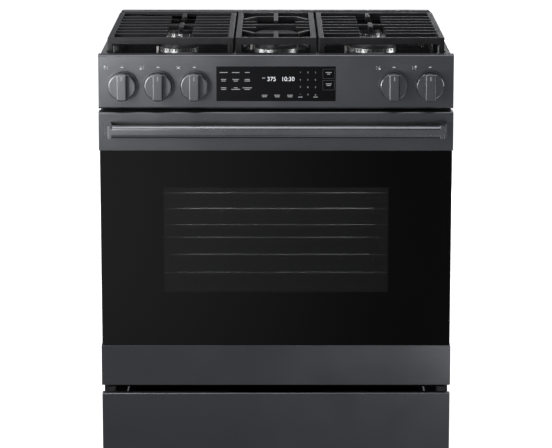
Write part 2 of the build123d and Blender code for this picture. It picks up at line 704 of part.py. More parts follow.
HANDLE_FRONT = DOOR_FACE - HANDLE_PROJECTION
HANDLE_Z = DOOR_TOP - HANDLE_DROP
BRACKET_FOOT = (HALF - 25, HALF - 12)
BRACKET_END = (HALF - HANDLE_END, HALF - 22)


def handle_brackets():
    """Cast end brackets that lean inwards from the door to the bar."""
    y_foot = FACE_Y + DOOR_FACE
    y_end = FACE_Y + HANDLE_FRONT
    outline = Polyline((BRACKET_FOOT[0], y_foot), (BRACKET_FOOT[1], y_foot), (BRACKET_END[1], y_end),
                       (BRACKET_END[0], y_end), close=True)
    bracket = extrude(make_face(outline), BRACKET_TALL)
    bracket = Pos(0, 0, HANDLE_Z - BRACKET_TALL / 2) * bracket
    bracket = fillet(bracket.edges().filter_by(Axis.Z).group_by(Axis.Y)[0], 3)
    return both(bracket)


def handle_bar():
    half = HANDLE_LENGTH / 2 + 6
    bar = wide(half, HANDLE_FRONT, HANDLE_FRONT + HANDLE_DEEP, HANDLE_Z - HANDLE_TALL / 2, HANDLE_Z + HANDLE_TALL / 2)
    bar = fillet(bar.edges().filter_by(Axis.X), 8)
    for bracket in handle_brackets():
        bar -= bracket
    return max(bar.solids(), key=lambda solid: solid.volume)


def door_hinge_arms():
    """Forked arms inside the stiles, with an eye each side of the receiver."""
    x0, x1 = ARM_X
    eye = rod_x(x0, x1, HINGE_DEPTH, HINGE_Z, HINGE_EYE)
    fork = eye + block(x0, x1, HINGE_DEPTH - HINGE_EYE, HINGE_DEPTH + HINGE_EYE, HINGE_Z, HINGE_Z + 100)
    fork -= block(RECEIVER_X[0] - 2, RECEIVER_X[1] + 2, HINGE_DEPTH - 12, HINGE_DEPTH + 12,
                  HINGE_Z - 12, HINGE_Z + 88)
    return both(fork - rod_x(x0, x1, HINGE_DEPTH, HINGE_Z, HINGE_PIN + RUNNING))


# ---- storage drawer ------------------------------------------------------------------------
RAIL_Z = DRAWER_BOTTOM + 56


def drawer_front():
    front = wide(HALF, 0, DRAWER_LIP, DRAWER_BOTTOM, DRAWER_TOP)
    front = fillet(front.edges().filter_by(Axis.X).group_by(Axis.Y)[0].group_by(Axis.Z)[-1], 4)
    front -= wide(HALF - SHEET, SHEET, DRAWER_LIP, DRAWER_BOTTOM + SHEET, DRAWER_TOP - SHEET)
    return front - wide(PULL_WIDTH / 2, SHEET + 2, DRAWER_LIP, DRAWER_TOP - SHEET, DRAWER_TOP)


def drawer_box():
    low = DRAWER_BOTTOM + BOX_FLOOR
    high = DRAWER_TOP - BOX_RIM
    half = BOX_WIDTH / 2
    back = DRAWER_LIP + BOX_LENGTH
    tray = wide(half, DRAWER_LIP, back, low, high)
    tray -= wide(half - SHEET, DRAWER_LIP + SHEET, back - SHEET, low + SHEET, high)
    tray += wide(HALF - 1, DRAWER_LIP, DRAWER_LIP + SHEET, DRAWER_BOTTOM + 1, high)
    for side in (-1, 1):
        middle = side * (half + RAIL / 2)
        tray += block(middle - RAIL / 2, middle + RAIL / 2, DRAWER_LIP + 25, back - 4, RAIL_Z, RAIL_Z + RAIL_TALL)
    return tray


# ---- oven racks ----------------------------------------------------------------------------
def oven_rack(drop):
    """Wire rack: a bent outline, one cross wire under the rods, and the rods themselves."""
    z = TOP - drop
    half = RACK_WIDTH / 2 - RACK_WIRE
    middle = RACK_FRONT + RACK_LENGTH / 2
    outline = Pos(0, FACE_Y + middle, z) * RectangleRounded(2 * half, RACK_LENGTH, RACK_CORNER)
    path = outline.wire()
    rack = sweep(Plane(path @ 0, z_dir=path % 0) * Circle(RACK_WIRE), path=path)
    rack += rod_x(-half, half, middle, z, RACK_CROSS)
    pitch = 2 * half / (RACK_RODS + 1)
    for number in range(1, RACK_RODS + 1):
        rack += rod_y(-half + pitch * number, RACK_FRONT, RACK_FRONT + RACK_LENGTH, z + RACK_SET, RACK_ROD)
    return rack


# ---- grates --------------------------------------------------------------------------------
RIB_LOW = HEIGHT - RIB_TALL
FRAME_LOW = HEIGHT - FRAME_TALL


def cross_rib(x0, x1, depth):
    return block(x0, x1, depth - RIB / 2, depth + RIB / 2, RIB_LOW, HEIGHT)


def finger(x, d0, d1):
    return block(x - RIB / 2, x + RIB / 2, d0, d1, RIB_LOW, HEIGHT)


def grate_frame(x0, x1):
    bars = block(x0, x1, GRATE_FRONT, GRATE_REAR, FRAME_LOW, HEIGHT)
    bars -= block(x0 + FRAME_BAR, x1 - FRAME_BAR, GRATE_FRONT + FRAME_BAR, GRATE_REAR - FRAME_BAR,
                  FRAME_LOW, HEIGHT)
    for x in (x0, x1 - FOOT):
        for depth in (GRATE_FRONT, MIDDLE_RIB - FOOT / 2, GRATE_REAR - FOOT):
            bars += block(x, x + FOOT, depth, depth + FOOT, SURFACE, FRAME_LOW)
    return bars


def side_grate():
    inner = GRATE_SPLIT + GRATE_GAP / 2
    frame = grate_frame(inner, GRATE_OUTER)
    lip = FRAME_BAR / 2
    for depth in RIB_DEPTHS:
        if depth == MIDDLE_RIB:
            frame += cross_rib(inner + lip, GRATE_OUTER - lip, depth)
        else:
            frame += cross_rib(inner + lip, FINGER_X - FINGER_GAP, depth)
            frame += cross_rib(FINGER_X + FINGER_GAP, GRATE_OUTER - lip, depth)
    frame += finger(FINGER_X, GRATE_FRONT + lip, 110)
    frame += finger(FINGER_X, MIDDLE_RIB - 41, MIDDLE_RIB + 41)
    frame += finger(FINGER_X, 450, GRATE_REAR - lip)
    return frame


HEX_HALF = 45.0          # half the width of the hexagons' flat ends
HEX_SIDE = 72.0
HEX_STEP = 48.0


def center_grate():
    half = GRATE_SPLIT - GRATE_GAP / 2
    grate = grate_frame(-half, half)
    edge = half - FRAME_BAR / 2
    grate += cross_rib(-edge, edge, MIDDLE_RIB)
    for depth in (MIDDLE_RIB - 51, MIDDLE_RIB + 51):
        grate += cross_rib(-edge, -44, depth) + cross_rib(44, edge, depth)
    for end, near in ((RIB_DEPTHS[-1], RIB_DEPTHS[-2]), (RIB_DEPTHS[0], RIB_DEPTHS[1])):
        grate += cross_rib(-HEX_HALF, HEX_HALF, end)
        grate += cross_rib(-edge, -HEX_SIDE + 4, near) + cross_rib(HEX_SIDE - 4, edge, near)
        for side in (-1, 1):
            grate += bar_between(side * HEX_SIDE, near, side * HEX_HALF, end, RIB, RIB_LOW, HEIGHT)
    grate += finger(0, GRATE_FRONT + FRAME_BAR / 2, 185)
    return grate + finger(0, 370, GRATE_REAR - FRAME_BAR / 2)


# ---- everything, one file for each piece ---------------------------------------------------
def main():
    os.makedirs("parts", exist_ok=True)
    for build in (base_frame, back_cover, power_inlet, oven_front_frame, oven_liner, oven_insulation,
                  oven_flue, oven_floor, bake_burner, broil_burner, oven_lamp, temperature_probe,
                  control_panel, display_glass, display_module, gas_manifold, gas_supply_pipe,
                  pressure_regulator, spark_module, cooktop, rear_vent_trim, door_top_trim,
                  door_bottom_trim, door_glass, door_inner_panel, door_inner_glass, door_insulation,
                  door_gasket, handle_bar, drawer_front, drawer_box):
        save(build.__name__, build())
    for build in (leveling_legs, side_panels, hinge_receivers, drawer_runners, knob_bezels, gas_valves,
                  burner_supply_tubes, burner_heads, burner_caps, spark_electrodes, door_side_stiles,
                  handle_brackets, door_hinge_arms):
        save(build.__name__, *build())
    for name, x in KNOB_X.items():
        save(f"knob_{name}", knob(x))
        save(f"valve_stem_{name}", valve_stem(x))
    save("oven_rack_upper", oven_rack(RACK_DROPS[0]))
    save("oven_rack_lower", oven_rack(RACK_DROPS[1]))
    save("grate_right", side_grate())
    save("grate_left", mirrored(side_grate()))
    save("grate_center", center_grate())


main()
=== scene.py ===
"""Looks of the freestanding gas range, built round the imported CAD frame. Metres, +Z up."""
import json
import math

import bmesh
import bpy
from mathutils import Matrix, Vector


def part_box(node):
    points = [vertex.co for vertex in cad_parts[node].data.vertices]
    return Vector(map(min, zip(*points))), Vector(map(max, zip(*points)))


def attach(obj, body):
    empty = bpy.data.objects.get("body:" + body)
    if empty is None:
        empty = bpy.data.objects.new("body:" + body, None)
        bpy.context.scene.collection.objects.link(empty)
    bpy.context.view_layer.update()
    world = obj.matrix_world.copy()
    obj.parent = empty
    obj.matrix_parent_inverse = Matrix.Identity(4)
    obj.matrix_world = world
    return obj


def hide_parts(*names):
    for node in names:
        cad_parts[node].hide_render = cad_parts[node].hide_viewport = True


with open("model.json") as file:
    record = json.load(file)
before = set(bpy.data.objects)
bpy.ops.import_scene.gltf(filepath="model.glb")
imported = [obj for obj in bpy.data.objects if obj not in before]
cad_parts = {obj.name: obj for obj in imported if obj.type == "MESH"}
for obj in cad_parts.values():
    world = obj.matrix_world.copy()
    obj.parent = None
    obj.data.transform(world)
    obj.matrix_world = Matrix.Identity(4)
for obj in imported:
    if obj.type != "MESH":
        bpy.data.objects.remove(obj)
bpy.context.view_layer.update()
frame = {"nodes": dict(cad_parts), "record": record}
MM = 0.001


def middle(node):
    low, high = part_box(node)
    return (low + high) / 2


# ---- places that come from the frame -----------------------------------------------------------
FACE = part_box("control_panel")[0].y      # the control panel's face
DISPLAY_LOW, DISPLAY_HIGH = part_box("display_glass")
KNOBS = ("left_rear", "left_front", "center", "right_front", "right_rear")
KNOB_MIDDLE = middle("knob_center").z

# the door's see-through window: the inner pane without the lap behind the window's edge
PANE_LOW, PANE_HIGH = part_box("door_inner_glass")
PANE_LAP = 20 * MM
WINDOW_HALF = (PANE_HIGH.x - PANE_LOW.x) / 2 - PANE_LAP
WINDOW_BOTTOM = PANE_LOW.z + PANE_LAP
WINDOW_TOP = PANE_HIGH.z - PANE_LAP


# ---- camera and lamps --------------------------------------------------------------------------
CAMERA_DISTANCE = 5.5                    # in front of the control panel
CAMERA_HEIGHT = 1.654
CAMERA_PITCH = 11.0                      # degrees down
FOCAL_SHARE = 4.705                      # focal length over the picture's width
CAMERA_SHIFT = -0.0335                   # of the picture's width
SENSOR = 36.0


def make_camera():
    data = bpy.data.cameras.new("camera")
    data.sensor_width = SENSOR
    data.lens = SENSOR * FOCAL_SHARE
    data.shift_y = CAMERA_SHIFT
    data.clip_end = 100
    camera = bpy.data.objects.new("camera", data)
    camera.location = (0.0, FACE - CAMERA_DISTANCE, CAMERA_HEIGHT)
    camera.rotation_euler = (math.radians(90 - CAMERA_PITCH), 0, 0)
    bpy.context.scene.collection.objects.link(camera)
    bpy.context.scene.camera = camera


def area_light(name, place, aim, size, power):
    data = bpy.data.lights.new(name, "AREA")
    data.shape = "RECTANGLE"
    data.size, data.size_y = size
    data.energy = power
    light = bpy.data.objects.new(name, data)
    light.location = place
    light.rotation_euler = (Vector(aim) - Vector(place)).to_track_quat("-Z", "Y").to_euler()
    bpy.context.scene.collection.objects.link(light)


# ---- node helpers ------------------------------------------------------------------------------
def new_material(name):
    material = bpy.data.materials.new(name)
    material.use_nodes = True
    tree = material.node_tree
    shader = tree.nodes["Principled BSDF"]
    return material, tree, shader


def position(tree, scale):
    """Object coordinates, stretched along each axis."""
    source = tree.nodes.new("ShaderNodeTexCoord")
    mapping = tree.nodes.new("ShaderNodeMapping")
    mapping.inputs["Scale"].default_value = scale
    tree.links.new(source.outputs["Object"], mapping.inputs["Vector"])
    return mapping.outputs["Vector"]


def noise(tree, vector, scale, detail=4.0, rough=0.55):
    node = tree.nodes.new("ShaderNodeTexNoise")
    node.inputs["Scale"].default_value = scale
    node.inputs["Detail"].default_value = detail
    node.inputs["Roughness"].default_value = rough
    tree.links.new(vector, node.inputs["Vector"])
    return node.outputs["Fac"]


def ramp(tree, value, stops):
    node = tree.nodes.new("ShaderNodeValToRGB")
    points = node.color_ramp.elements
    while len(points) < len(stops):
        points.new(0.5)
    for point, (place, colour) in zip(points, stops):
        point.position = place
        point.color = (*colour, 1)
    tree.links.new(value, node.inputs["Fac"])
    return node.outputs["Color"]


def spread(tree, value, low, high, from_low=0.3, from_high=0.7):
    """The value's range, moved to low ... high."""
    node = tree.nodes.new("ShaderNodeMapRange")
    node.inputs["From Min"].default_value = from_low
    node.inputs["From Max"].default_value = from_high
    node.inputs["To Min"].default_value = low
    node.inputs["To Max"].default_value = high
    tree.links.new(value, node.inputs["Value"])
    return node.outputs["Result"]


def compute(tree, operation, first, second=0.0):
    """A Math node on two sockets or numbers."""
    node = tree.nodes.new("ShaderNodeMath")
    node.operation = operation
    for socket, value in zip(node.inputs, (first, second)):
        if isinstance(value, (int, float)):
            socket.default_value = value
        else:
            tree.links.new(value, socket)
    return node.outputs[0]


def distance_from(tree, value, centre):
    return compute(tree, "ABSOLUTE", compute(tree, "SUBTRACT", value, centre))


def bump(tree, shader, value, strength, distance):
    node = tree.nodes.new("ShaderNodeBump")
    node.inputs["Strength"].default_value = strength
    node.inputs["Distance"].default_value = distance
    tree.links.new(value, node.inputs["Height"])
    tree.links.new(node.outputs["Normal"], shader.inputs["Normal"])


def shade(colour, factor):
    return tuple(min(1.0, channel * factor) for channel in colour)


# ---- materials ---------------------------------------------------------------------------------
def brushed_metal(name, colour, roughness, grain=(6, 500, 500), contrast=0.12):
    """Metal with fine lines along one axis: the grain is long where its scale is small."""
    material, tree, shader = new_material(name)
    vector = position(tree, grain)
    lines = noise(tree, vector, 4.0, 6.0, 0.7)
    tint = ramp(tree, lines, [(0.3, shade(colour, 1 - contrast)), (0.7, shade(colour, 1 + contrast))])
    tree.links.new(tint, shader.inputs["Base Color"])
    cloud = noise(tree, position(tree, (3, 3, 3)), 2.5, 3.0)
    tree.links.new(spread(tree, cloud, roughness - 0.04, roughness + 0.05), shader.inputs["Roughness"])
    shader.inputs["Metallic"].default_value = 1.0
    shader.inputs["Anisotropic"].default_value = 0.55
    bump(tree, shader, lines, 0.25, 0.0002)
    return material


def enamel(name, colour, roughness, speckle=None, coat=0.0, ripple=0.04):
    """Porcelain enamel or powder coat, with its slight orange peel and optional speckle."""
    material, tree, shader = new_material(name)
    peel = noise(tree, position(tree, (1, 1, 1)), 180.0, 2.0)
    if speckle:
        grains = tree.nodes.new("ShaderNodeTexVoronoi")
        grains.inputs["Scale"].default_value = 420.0
        tree.links.new(position(tree, (1, 1, 1)), grains.inputs["Vector"])
        tint = ramp(tree, grains.outputs["Distance"], [(0.10, speckle), (0.22, colour)])
    else:
        cloud = noise(tree, position(tree, (1, 1, 1)), 9.0, 4.0)
        tint = ramp(tree, cloud, [(0.3, shade(colour, 0.88)), (0.7, shade(colour, 1.12))])
    tree.links.new(tint, shader.inputs["Base Color"])
    smear = noise(tree, position(tree, (1, 1, 1)), 6.0, 5.0)
    tree.links.new(spread(tree, smear, roughness * 0.8, roughness * 1.25), shader.inputs["Roughness"])
    shader.inputs["Coat Weight"].default_value = coat
    shader.inputs["Coat Roughness"].default_value = 0.05
    bump(tree, shader, peel, ripple, 0.0003)
    return material


def cast_metal(name, colour, roughness, grit, metallic, strength):
    """Sand-cast surface: fine grit and broader unevenness."""
    material, tree, shader = new_material(name)
    vector = position(tree, (1, 1, 1))
    fine = noise(tree, vector, grit, 5.0, 0.65)
    cloud = noise(tree, vector, grit * 0.06, 4.0)
    tint = ramp(tree, cloud, [(0.3, shade(colour, 0.75)), (0.7, shade(colour, 1.3))])
    tree.links.new(tint, shader.inputs["Base Color"])
    tree.links.new(spread(tree, fine, roughness - 0.08, roughness + 0.1), shader.inputs["Roughness"])
    shader.inputs["Metallic"].default_value = metallic
    bump(tree, shader, fine, strength, 0.0006)
    return material


def zinc(name, colour):
    """Zinc coating with its spangle."""
    material, tree, shader = new_material(name)
    cells = tree.nodes.new("ShaderNodeTexVoronoi")
    cells.inputs["Scale"].default_value = 70.0
    tree.links.new(position(tree, (1, 1, 1)), cells.inputs["Vector"])
    tint = ramp(tree, cells.outputs["Color"], [(0.2, shade(colour, 0.8)), (0.8, shade(colour, 1.15))])
    tree.links.new(tint, shader.inputs["Base Color"])
    tree.links.new(spread(tree, cells.outputs["Color"], 0.32, 0.5, 0, 1), shader.inputs["Roughness"])
    shader.inputs["Metallic"].default_value = 0.9
    bump(tree, shader, cells.outputs["Distance"], 0.05, 0.0003)
    return material


def fibre(name, colour):
    """Matted or braided glass fibre."""
    material, tree, shader = new_material(name)
    strands = noise(tree, position(tree, (40, 400, 400)), 3.0, 6.0, 0.7)
    tint = ramp(tree, strands, [(0.3, shade(colour, 0.7)), (0.7, shade(colour, 1.2))])
    tree.links.new(tint, shader.inputs["Base Color"])
    shader.inputs["Roughness"].default_value = 0.95
    shader.inputs["Sheen Weight"].default_value = 0.3
    bump(tree, shader, strands, 0.6, 0.001)
    return material


def window_mask(tree):
    """1 on the printed border, 0 in the see-through window, with a soft edge between them."""
    source = tree.nodes.new("ShaderNodeTexCoord")
    split = tree.nodes.new("ShaderNodeSeparateXYZ")
    tree.links.new(source.outputs["Object"], split.inputs["Vector"])
    sides = (("X", 0.0, WINDOW_HALF),
             ("Z", (WINDOW_TOP + WINDOW_BOTTOM) / 2, (WINDOW_TOP - WINDOW_BOTTOM) / 2))
    edges = []
    for axis, centre, reach in sides:
        away = distance_from(tree, split.outputs[axis], centre)
        edges.append(spread(tree, away, 0.0, 1.0, reach - 2 * MM, reach + 1 * MM))
    return compute(tree, "MAXIMUM", *edges)


def oven_glass():
    """Black glass whose window is only tinted, so that the racks show behind it."""
    material, tree, shader = new_material("oven_glass")
    mask = window_mask(tree)
    smear = noise(tree, position(tree, (1, 1, 1)), 5.0, 4.0)
    tint = ramp(tree, mask, [(0.0, (0.020, 0.020, 0.020)), (1.0, (0.003, 0.003, 0.003))])
    tree.links.new(tint, shader.inputs["Base Color"])
    tree.links.new(spread(tree, smear, 0.045, 0.075), shader.inputs["Roughness"])
    shader.inputs["IOR"].default_value = 1.5
    tree.links.new(spread(tree, mask, 0.62, 1.0, 0.0, 1.0), shader.inputs["Alpha"])
    return material


def clear_glass(name, colour, alpha):
    """Thin glass that lets most of what is behind it show."""
    material, tree, shader = new_material(name)
    smear = noise(tree, position(tree, (1, 1, 1)), 8.0, 4.0)
    tint = ramp(tree, smear, [(0.3, shade(colour, 0.95)), (0.7, colour)])
    tree.links.new(tint, shader.inputs["Base Color"])
    tree.links.new(spread(tree, smear, 0.03, 0.08), shader.inputs["Roughness"])
    shader.inputs["Alpha"].default_value = alpha
    return material


def printed(name, colour, glow=0.0):
    """Printed ink with a painted glow, and a display's lit segment that really glows."""
    material, tree, shader = new_material(name)
    grain = noise(tree, position(tree, (1, 1, 1)), 900.0, 2.0)
    tint = ramp(tree, grain, [(0.3, shade(colour, 0.85)), (0.7, colour)])
    tree.links.new(tint, shader.inputs["Base Color"])
    shader.inputs["Roughness"].default_value = 0.5
    # the glow is painted light on ink, and real light on a lit segment
    if glow:
        tree.links.new(tint, shader.inputs["Emission Color"])
        shader.inputs["Emission Strength"].default_value = glow
    return material


def make_materials():
    """Every material by its slot's name, and a few for pieces that are made here."""
    return {
        "black_stainless": brushed_metal("black_stainless", (0.21, 0.214, 0.225), 0.32),
        "handle_metal": brushed_metal("handle_metal", (0.34, 0.345, 0.36), 0.28),
        "knob_metal": brushed_metal("knob_metal", (0.25, 0.254, 0.265), 0.32, grain=(500, 500, 8)),
        "knob_ring": brushed_metal("knob_ring", (0.22, 0.22, 0.23), 0.3, grain=(90, 90, 90)),
        "black_enamel": enamel("black_enamel", (0.006, 0.006, 0.007), 0.10, coat=0.6, ripple=0.02),
        "cap_enamel": enamel("cap_enamel", (0.035, 0.035, 0.037), 0.42, ripple=0.15),
        "cast_iron": cast_metal("cast_iron", (0.024, 0.024, 0.026), 0.38, 600.0, 0.1, 0.22),
        "burner_aluminium": cast_metal("burner_aluminium", (0.82, 0.82, 0.83), 0.3, 500.0, 1.0, 0.15),
        "door_glass": oven_glass(),
        "clear_glass": clear_glass("clear_glass", (0.10, 0.11, 0.11), 0.12),
        "display_glass": enamel("display_black", (0.004, 0.004, 0.005), 0.07, coat=0.3, ripple=0.0),
        "liner_enamel": enamel("liner_enamel", (0.055, 0.06, 0.072), 0.3, speckle=(0.22, 0.23, 0.25)),
        "rack_wire": brushed_metal("rack_wire", (0.75, 0.75, 0.76), 0.22, (60, 60, 60), 0.06),
        "galvanised": zinc("galvanised", (0.52, 0.53, 0.54)),
        "case_paint": enamel("case_paint", (0.035, 0.035, 0.037), 0.38, ripple=0.25),
        "glass_fibre": fibre("glass_fibre", (0.62, 0.56, 0.42)),
        "gasket_braid": fibre("gasket_braid", (0.07, 0.07, 0.07)),
        "brass": brushed_metal("brass", (0.75, 0.55, 0.25), 0.3, grain=(60, 60, 60)),
        "tube_aluminium": brushed_metal("tube_aluminium", (0.75, 0.76, 0.77), 0.32, grain=(80, 20, 80)),
        "black_plastic": enamel("black_plastic", (0.02, 0.02, 0.02), 0.5, ripple=0.3),
        "ceramic": enamel("ceramic", (0.8, 0.78, 0.72), 0.25, ripple=0.02),
        "lamp_glass": clear_glass("lamp_glass", (0.9, 0.87, 0.78), 0.7),
        "burner_steel": brushed_metal("burner_steel", (0.4, 0.38, 0.36), 0.45, grain=(40, 10, 40)),
        "stainless": brushed_metal("stainless", (0.6, 0.6, 0.6), 0.3, grain=(80, 10, 80)),
        # the three inks are given a painted glow, since print is no lamp
        "ink_painted_glow": printed("ink_painted_glow", (0.75, 0.75, 0.77), 0.25),
        "dim_ink_painted_glow": printed("dim_ink_painted_glow", (0.34, 0.34, 0.35), 0.55),
        "dark_ink_painted_glow": printed("dark_ink_painted_glow", (0.08, 0.08, 0.085), 0.3),
        "lit": printed("lit", (0.8, 0.82, 0.85), 0.7),
        # painted shade for the burners' gas ports, standing for the shadow in their holes
        "painted_port_shade": enamel("painted_port_shade", (0.015, 0.015, 0.015), 0.7),
        "screw": brushed_metal("screw", (0.6, 0.6, 0.62), 0.35, grain=(200, 200, 200)),
    }


# ---- mesh helpers --------------------------------------------------------------------------------
def add_object(name, mesh, material):
    piece = bpy.data.objects.new(name, mesh)
    piece.data.materials.clear()
    piece.data.materials.append(material)
    bpy.context.scene.collection.objects.link(piece)
    return piece


def finish_mesh(name, work, material):
    """Turns a bmesh into an object, smooth except across real edges."""
    bmesh.ops.recalc_face_normals(work, faces=work.faces[:])
    sharp = math.radians(35)
    for face in work.faces:
        face.smooth = True
    for edge in work.edges:
        edge.smooth = len(edge.link_faces) == 2 and edge.calc_face_angle(0.0) < sharp
    mesh = bpy.data.meshes.new(name)
    work.to_mesh(mesh)
    work.free()
    return add_object(name, mesh, material)


def apply_modifiers(piece):
    """Leaves the shape that the modifiers make, and no modifier."""
    bpy.context.view_layer.update()
    graph = bpy.context.evaluated_depsgraph_get()
    mesh = bpy.data.meshes.new_from_object(piece.evaluated_get(graph))
    piece.modifiers.clear()
    piece.data = mesh


def eased(node, material, width):
    """The CAD node's shape with every real edge rounded, in place of the sharp one."""
    work = bmesh.new()
    work.from_mesh(frame["nodes"][node].data)
    bmesh.ops.remove_doubles(work, verts=work.verts[:], dist=2e-6)
    bmesh.ops.dissolve_limit(work, angle_limit=math.radians(1.0), verts=work.verts[:], edges=work.edges[:])
    for face in work.faces:
        face.smooth = True
    mesh = bpy.data.meshes.new(node + "_eased")
    work.to_mesh(mesh)
    work.free()
    piece = add_object(node + "_eased", mesh, material)
    bevel = piece.modifiers.new("bevel", "BEVEL")
    bevel.width = width
    bevel.segments = 2
    bevel.limit_method = "ANGLE"
    bevel.angle_limit = math.radians(30)
    bevel.use_clamp_overlap = True
    flat = piece.modifiers.new("flat", "WEIGHTED_NORMAL")
    flat.mode = "FACE_AREA"
    flat.weight = 100
    flat.keep_sharp = True
    apply_modifiers(piece)
    return piece


def plate(work, x0, x1, y0, y1, z0, z1):
    """A box added to a bmesh."""
    size = Vector((x1 - x0, y1 - y0, z1 - z0))
    place = Vector((x0 + x1, y0 + y1, z0 + z1)) / 2
    made = bmesh.ops.create_cube(work, size=1.0)
    bmesh.ops.scale(work, vec=size, verts=made["verts"])
    bmesh.ops.translate(work, vec=place, verts=made["verts"])
    return made["verts"]


def lathe(work, profile, centre, steps=64):
    """A closed solid turned round Z: the profile's points are (radius, height)."""
    rings = []
    for radius, height in profile:
        if radius < 1e-7:
            rings.append([work.verts.new((0, 0, height))])
        else:
            rings.append([work.verts.new((radius * math.cos(2 * math.pi * k / steps),
                                          radius * math.sin(2 * math.pi * k / steps), height))
                          for k in range(steps)])
    for first, second in zip(rings, rings[1:]):
        for k in range(steps):
            near = first[k % len(first)], first[(k + 1) % len(first)]
            far = second[k % len(second)], second[(k + 1) % len(second)]
            corners = list(dict.fromkeys([near[0], near[1], far[1], far[0]]))
            if len(corners) > 2:
                work.faces.new(corners)
    made = [vert for ring in rings for vert in ring]
    bmesh.ops.translate(work, vec=centre, verts=made)
    return made


def write_text(name, text, size, place, material):
    """Generic digits as a thin printed solid, facing the front."""
    curve = bpy.data.curves.new(name, "FONT")
    curve.body = text
    curve.size = size
    curve.extrude = INK_DEPTH / 2
    curve.align_x = "CENTER"
    curve.align_y = "CENTER"
    flat = bpy.data.objects.new(name, curve)
    bpy.context.scene.collection.objects.link(flat)
    flat.rotation_euler = (math.radians(90), 0, 0)
    flat.location = place
    bpy.context.view_layer.update()
    graph = bpy.context.evaluated_depsgraph_get()
    mesh = bpy.data.meshes.new_from_object(flat.evaluated_get(graph))
    mesh.transform(flat.matrix_world)
    bpy.data.objects.remove(flat)
    return add_object(name, mesh, material)


# ---- the look of each part -----------------------------------------------------------------------
SLOTS = {entry["node"]: entry["material_slot"] for entry in frame["record"]["subparts"]}
OTHER_MATERIAL = {"knob_bezels": "knob_ring"}


def dress_cad(materials):
    """Every CAD node takes the procedural material of its slot, or the other one named above."""
    for node, piece in frame["nodes"].items():
        chosen = materials[OTHER_MATERIAL.get(node, SLOTS[node])]
        piece.data.materials.clear()
        piece.data.materials.append(chosen)
        for polygon in piece.data.polygons:
            polygon.material_index = 0


def carry(piece, body, slot, *nodes):
    """The piece moves with the body and stands for the nodes named; the slot is not used."""
    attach(piece, body)
    if nodes:
        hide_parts(*nodes)


EASED = {
    # node: (body, edge radius in mm)
    "grate_left": ("left_grate", 1.6),
    "grate_center": ("center_grate", 1.6),
    "grate_right": ("right_grate", 1.6),
    "door_glass": ("oven_door", 0.8),
    "drawer_front": ("storage_drawer", 0.5),
    "door_top_trim": ("oven_door", 0.5),
    "door_bottom_trim": ("oven_door", 0.5),
    "control_panel": ("chassis", 0.5),
    "cooktop": ("chassis", 0.6),
    "rear_vent_trim": ("chassis", 0.5),
    "display_glass": ("chassis", 0.5),
}


def make_eased(materials):
    for node, (body, radius) in EASED.items():
        piece = eased(node, materials[SLOTS[node]], radius * MM)
        carry(piece, body, SLOTS[node], node)


INK_DEPTH = 0.12 * MM                    # printed marks stand this far out
INK_LINE = 1.5 * MM                      # height of a bar that stands for a printed word
MARK_UP = 40.0 * MM                      # printed marks above the knobs' centres
MARK_SIDE = 34.0 * MM                    # burner signs beside the off marks
# which of a sign's five dots is the burner that a knob turns on: (across, back)
BURNER_SPOTS = {"left_rear": (-1, 1), "left_front": (-1, -1), "center": (0, 0),
                "right_front": (1, -1), "right_rear": (1, 1)}


def ink_plate(work, x, z, width, height, face=FACE):
    plate(work, x - width / 2, x + width / 2, face - INK_DEPTH, face, z - height / 2, z + height / 2)


def panel_marks(materials):
    """Above each knob an off mark, and beside it which burner it turns on."""
    work = bmesh.new()
    for name in KNOBS:
        x = middle("knob_" + name).x
        z = KNOB_MIDDLE + MARK_UP
        ink_plate(work, x, z, 5.5 * MM, 1.9 * MM)
        for spot in BURNER_SPOTS.values():
            size = 3.6 * MM if spot == BURNER_SPOTS[name] else 1.4 * MM
            across = x - MARK_SIDE + spot[0] * 3.2 * MM
            ink_plate(work, across, z - 1 * MM + spot[1] * 2.4 * MM, size, size)
    carry(finish_mesh("panel_marks", work, materials["ink_painted_glow"]), "chassis", "display_glass")


def knob_pointers(materials):
    """A short pale printed line at the top of each knob's grip, given a painted glow."""
    for name in KNOBS:
        low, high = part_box("knob_" + name)
        work = bmesh.new()
        x = (low.x + high.x) / 2
        plate(work, x - 0.9 * MM, x + 0.9 * MM, low.y - INK_DEPTH, low.y + 0.5 * MM,
              KNOB_MIDDLE + 15 * MM, KNOB_MIDDLE + 24 * MM)
        piece = finish_mesh("knob_pointer_" + name, work, materials["dim_ink_painted_glow"])
        carry(piece, "knob_body_" + name, "knob_metal")


# the display's print, in mm from its left and top edges; a label's lines are given by their widths
LABEL_COLUMNS = (15.5, 41.5, 66.0)
LABEL_ROWS = (
    (13.0, (17,), (16,), (10,)),
    (28.0, (11, 9), (14, 9), (11, 12)),
    (46.0, (12, 11), (8, 19), (20, 12)),
)
KEY_COLUMN, KEY_ROW = 179.5, 13.0        # first sign of the keypad
KEY_STEP_X, KEY_STEP_Z = 16.2, 16.0
WIDE_KEY = 240.0                         # two framed keys, one under the other
WIDE_KEY_ROWS = (16.0, 40.5)
OTHER_LABELS = (
    (103.0, 62.0, (12, 10)),
    (130.0, 62.0, (12, 10)),
    (157.5, 62.0, (12, 10)),
    (KEY_COLUMN, 66.0, (9,)),
    (212.0, 66.0, (9,)),
    (WIDE_KEY, 13.0, (13, 6)),
    (WIDE_KEY, 37.5, (12, 9)),
)
LINE_STEP = 3.4
DASH = (101.0, 25.0)                     # before the temperature
READOUTS = (("375", 118), ("10:30", 153))
READOUT_ROW = 27.5


def label(work, across, down, widths):
    """Short printed lines, one under the other, that stand for a word or two."""
    for row, width in enumerate(widths):
        ink_plate(work, DISPLAY_LOW.x + across * MM, DISPLAY_HIGH.z - (down + row * LINE_STEP) * MM,
                  width * MM, INK_LINE, DISPLAY_LOW.y)


